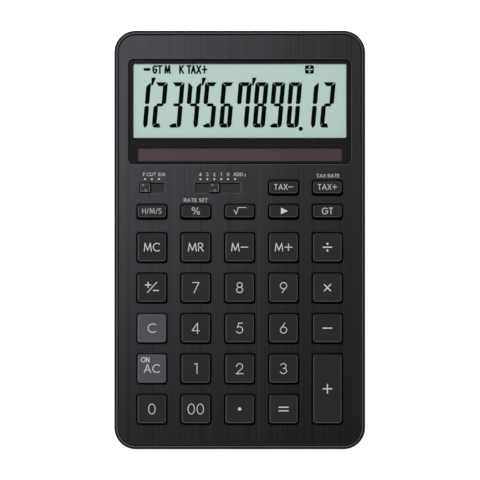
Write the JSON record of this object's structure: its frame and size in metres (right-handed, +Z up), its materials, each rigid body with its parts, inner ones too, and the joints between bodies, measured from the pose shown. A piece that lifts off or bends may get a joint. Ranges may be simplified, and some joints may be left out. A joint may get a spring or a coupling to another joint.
{
  "type": "desk calculator",
  "caption": "Slim desk calculator with a brushed metal face, square dished keys, slide switches, a wide liquid crystal display and a solar strip.",
  "frame": {"origin": "under the middle of the case, on the plane its feet stand on", "axes": "+Y along the case towards the display, +X to the user's right, +Z up out of the keys"},
  "size_m": [0.11, 0.1836, 0.0108],
  "materials": {
    "brushed_plate": "black anodised, fine vertical brushing, satin",
    "case_black": "moulded, fine satin texture",
    "bezel_black": "smooth black mask",
    "window_clear": "clear acrylic, polished",
    "lcd_glass": "grey-green reflective liquid crystal",
    "silicone": "translucent grey silicone",
    "solar_dark": "dark brown amorphous silicon cell",
    "flex_orange": "polyimide film",
    "cell_steel": "bright nickel plating",
    "contact_steel": "plain spring steel",
    "screw_steel": "zinc plated",
    "board_green": "solder-masked glass epoxy",
    "epoxy_black": "cast black resin",
    "foot_rubber": "soft matt black",
    "key_black": "moulded, slightly satin, printed legend",
    "key_grey": "moulded, slightly satin, printed legend",
    "knob_black": "moulded, satin"
  },
  "bodies": {
    "case": {"face_plate": "brushed_plate", "upper_case": "case_black", "lower_case": "case_black", "display_bezel": "bezel_black", "display_window": "window_clear", "lcd_panel": "lcd_glass", "lcd_connector": "silicone", "solar_cell": "solar_dark", "solar_lead": "flex_orange", "coin_cell": "cell_steel", "battery_contact_negative": "contact_steel", "battery_contact_positive": "contact_steel", "battery_cover": "case_black", "cover_screw": "screw_steel", "main_board": "board_green", "processor_chip": "epoxy_black", "dome_sheet": "silicone", "case_screw_front_left": "screw_steel", "case_screw_front_right": "screw_steel", "case_screw_back_left": "screw_steel", "case_screw_back_right": "screw_steel", "foot_front_left": "foot_rubber", "foot_front_right": "foot_rubber", "foot_back_left": "foot_rubber", "foot_back_right": "foot_rubber"},
    "key_tax_minus": {"key_tax_minus": "key_black"},
    "key_tax_plus": {"key_tax_plus": "key_black"},
    "key_hours_minutes_seconds": {"key_hours_minutes_seconds": "key_black"},
    "key_percent": {"key_percent": "key_black"},
    "key_square_root": {"key_square_root": "key_black"},
    "key_backspace": {"key_backspace": "key_black"},
    "key_grand_total": {"key_grand_total": "key_black"},
    "key_memory_clear": {"key_memory_clear": "key_black"},
    "key_memory_recall": {"key_memory_recall": "key_black"},
    "key_memory_minus": {"key_memory_minus": "key_black"},
    "key_memory_plus": {"key_memory_plus": "key_black"},
    "key_divide": {"key_divide": "key_black"},
    "key_sign_change": {"key_sign_change": "key_black"},
    "key_7": {"key_7": "key_black"},
    "key_8": {"key_8": "key_black"},
    "key_9": {"key_9": "key_black"},
    "key_multiply": {"key_multiply": "key_black"},
    "key_clear": {"key_clear": "key_grey"},
    "key_4": {"key_4": "key_black"},
    "key_5": {"key_5": "key_black"},
    "key_6": {"key_6": "key_black"},
    "key_minus": {"key_minus": "key_black"},
    "key_all_clear": {"key_all_clear": "key_grey"},
    "key_1": {"key_1": "key_black"},
    "key_2": {"key_2": "key_black"},
    "key_3": {"key_3": "key_black"},
    "key_0": {"key_0": "key_black"},
    "key_00": {"key_00": "key_black"},
    "key_decimal_point": {"key_decimal_point": "key_black"},
    "key_equals": {"key_equals": "key_black"},
    "key_plus": {"key_plus": "key_black"},
    "rounding_knob": {"rounding_knob": "knob_black", "rounding_wiper": "contact_steel"},
    "decimal_knob": {"decimal_knob": "knob_black", "decimal_wiper": "contact_steel"}
  },
  "joints": [
    {"name": "rounding_knob_slide", "type": "slide", "parent": "case", "child": "rounding_knob", "axis": [1, 0, 0], "range_m": [0, 0.00606]},
    {"name": "decimal_knob_slide", "type": "slide", "parent": "case", "child": "decimal_knob", "axis": [1, 0, 0], "range_m": [-0.00606, 0.00909]},
    {"name": "key_tax_minus_press", "type": "slide", "parent": "case", "child": "key_tax_minus", "axis": [0, 0, -1], "range_m": [0, 0.0009], "stiffness_N_per_m": 550, "deforming": ["dome_sheet"]},
    {"name": "key_tax_plus_press", "type": "slide", "parent": "case", "child": "key_tax_plus", "axis": [0, 0, -1], "range_m": [0, 0.0009], "stiffness_N_per_m": 550, "deforming": ["dome_sheet"]},
    {"name": "key_hours_minutes_seconds_press", "type": "slide", "parent": "case", "child": "key_hours_minutes_seconds", "axis": [0, 0, -1], "range_m": [0, 0.0009], "stiffness_N_per_m": 550, "deforming": ["dome_sheet"]},
    {"name": "key_percent_press", "type": "slide", "parent": "case", "child": "key_percent", "axis": [0, 0, -1], "range_m": [0, 0.0009], "stiffness_N_per_m": 550, "deforming": ["dome_sheet"]},
    {"name": "key_square_root_press", "type": "slide", "parent": "case", "child": "key_square_root", "axis": [0, 0, -1], "range_m": [0, 0.0009], "stiffness_N_per_m": 550, "deforming": ["dome_sheet"]},
    {"name": "key_backspace_press", "type": "slide", "parent": "case", "child": "key_backspace", "axis": [0, 0, -1], "range_m": [0, 0.0009], "stiffness_N_per_m": 550, "deforming": ["dome_sheet"]},
    {"name": "key_grand_total_press", "type": "slide", "parent": "case", "child": "key_grand_total", "axis": [0, 0, -1], "range_m": [0, 0.0009], "stiffness_N_per_m": 550, "deforming": ["dome_sheet"]},
    {"name": "key_memory_clear_press", "type": "slide", "parent": "case", "child": "key_memory_clear", "axis": [0, 0, -1], "range_m": [0, 0.0009], "stiffness_N_per_m": 550, "deforming": ["dome_sheet"]},
    {"name": "key_memory_recall_press", "type": "slide", "parent": "case", "child": "key_memory_recall", "axis": [0, 0, -1], "range_m": [0, 0.0009], "stiffness_N_per_m": 550, "deforming": ["dome_sheet"]},
    {"name": "key_memory_minus_press", "type": "slide", "parent": "case", "child": "key_memory_minus", "axis": [0, 0, -1], "range_m": [0, 0.0009], "stiffness_N_per_m": 550, "deforming": ["dome_sheet"]},
    {"name": "key_memory_plus_press", "type": "slide", "parent": "case", "child": "key_memory_plus", "axis": [0, 0, -1], "range_m": [0, 0.0009], "stiffness_N_per_m": 550, "deforming": ["dome_sheet"]},
    {"name": "key_divide_press", "type": "slide", "parent": "case", "child": "key_divide", "axis": [0, 0, -1], "range_m": [0, 0.0009], "stiffness_N_per_m": 550, "deforming": ["dome_sheet"]},
    {"name": "key_sign_change_press", "type": "slide", "parent": "case", "child": "key_sign_change", "axis": [0, 0, -1], "range_m": [0, 0.0009], "stiffness_N_per_m": 550, "deforming": ["dome_sheet"]},
    {"name": "key_7_press", "type": "slide", "parent": "case", "child": "key_7", "axis": [0, 0, -1], "range_m": [0, 0.0009], "stiffness_N_per_m": 550, "deforming": ["dome_sheet"]},
    {"name": "key_8_press", "type": "slide", "parent": "case", "child": "key_8", "axis": [0, 0, -1], "range_m": [0, 0.0009], "stiffness_N_per_m": 550, "deforming": ["dome_sheet"]},
    {"name": "key_9_press", "type": "slide", "parent": "case", "child": "key_9", "axis": [0, 0, -1], "range_m": [0, 0.0009], "stiffness_N_per_m": 550, "deforming": ["dome_sheet"]},
    {"name": "key_multiply_press", "type": "slide", "parent": "case", "child": "key_multiply", "axis": [0, 0, -1], "range_m": [0, 0.0009], "stiffness_N_per_m": 550, "deforming": ["dome_sheet"]},
    {"name": "key_clear_press", "type": "slide", "parent": "case", "child": "key_clear", "axis": [0, 0, -1], "range_m": [0, 0.0009], "stiffness_N_per_m": 550, "deforming": ["dome_sheet"]},
    {"name": "key_4_press", "type": "slide", "parent": "case", "child": "key_4", "axis": [0, 0, -1], "range_m": [0, 0.0009], "stiffness_N_per_m": 550, "deforming": ["dome_sheet"]},
    {"name": "key_5_press", "type": "slide", "parent": "case", "child": "key_5", "axis": [0, 0, -1], "range_m": [0, 0.0009], "stiffness_N_per_m": 550, "deforming": ["dome_sheet"]},
    {"name": "key_6_press", "type": "slide", "parent": "case", "child": "key_6", "axis": [0, 0, -1], "range_m": [0, 0.0009], "stiffness_N_per_m": 550, "deforming": ["dome_sheet"]},
    {"name": "key_minus_press", "type": "slide", "parent": "case", "child": "key_minus", "axis": [0, 0, -1], "range_m": [0, 0.0009], "stiffness_N_per_m": 550, "deforming": ["dome_sheet"]},
    {"name": "key_all_clear_press", "type": "slide", "parent": "case", "child": "key_all_clear", "axis": [0, 0, -1], "range_m": [0, 0.0009], "stiffness_N_per_m": 550, "deforming": ["dome_sheet"]},
    {"name": "key_1_press", "type": "slide", "parent": "case", "child": "key_1", "axis": [0, 0, -1], "range_m": [0, 0.0009], "stiffness_N_per_m": 550, "deforming": ["dome_sheet"]},
    {"name": "key_2_press", "type": "slide", "parent": "case", "child": "key_2", "axis": [0, 0, -1], "range_m": [0, 0.0009], "stiffness_N_per_m": 550, "deforming": ["dome_sheet"]},
    {"name": "key_3_press", "type": "slide", "parent": "case", "child": "key_3", "axis": [0, 0, -1], "range_m": [0, 0.0009], "stiffness_N_per_m": 550, "deforming": ["dome_sheet"]},
    {"name": "key_0_press", "type": "slide", "parent": "case", "child": "key_0", "axis": [0, 0, -1], "range_m": [0, 0.0009], "stiffness_N_per_m": 550, "deforming": ["dome_sheet"]},
    {"name": "key_00_press", "type": "slide", "parent": "case", "child": "key_00", "axis": [0, 0, -1], "range_m": [0, 0.0009], "stiffness_N_per_m": 550, "deforming": ["dome_sheet"]},
    {"name": "key_decimal_point_press", "type": "slide", "parent": "case", "child": "key_decimal_point", "axis": [0, 0, -1], "range_m": [0, 0.0009], "stiffness_N_per_m": 550, "deforming": ["dome_sheet"]},
    {"name": "key_equals_press", "type": "slide", "parent": "case", "child": "key_equals", "axis": [0, 0, -1], "range_m": [0, 0.0009], "stiffness_N_per_m": 550, "deforming": ["dome_sheet"]},
    {"name": "key_plus_press", "type": "slide", "parent": "case", "child": "key_plus", "axis": [0, 0, -1], "range_m": [0, 0.0009], "stiffness_N_per_m": 900, "deforming": ["dome_sheet"]}
  ]
}
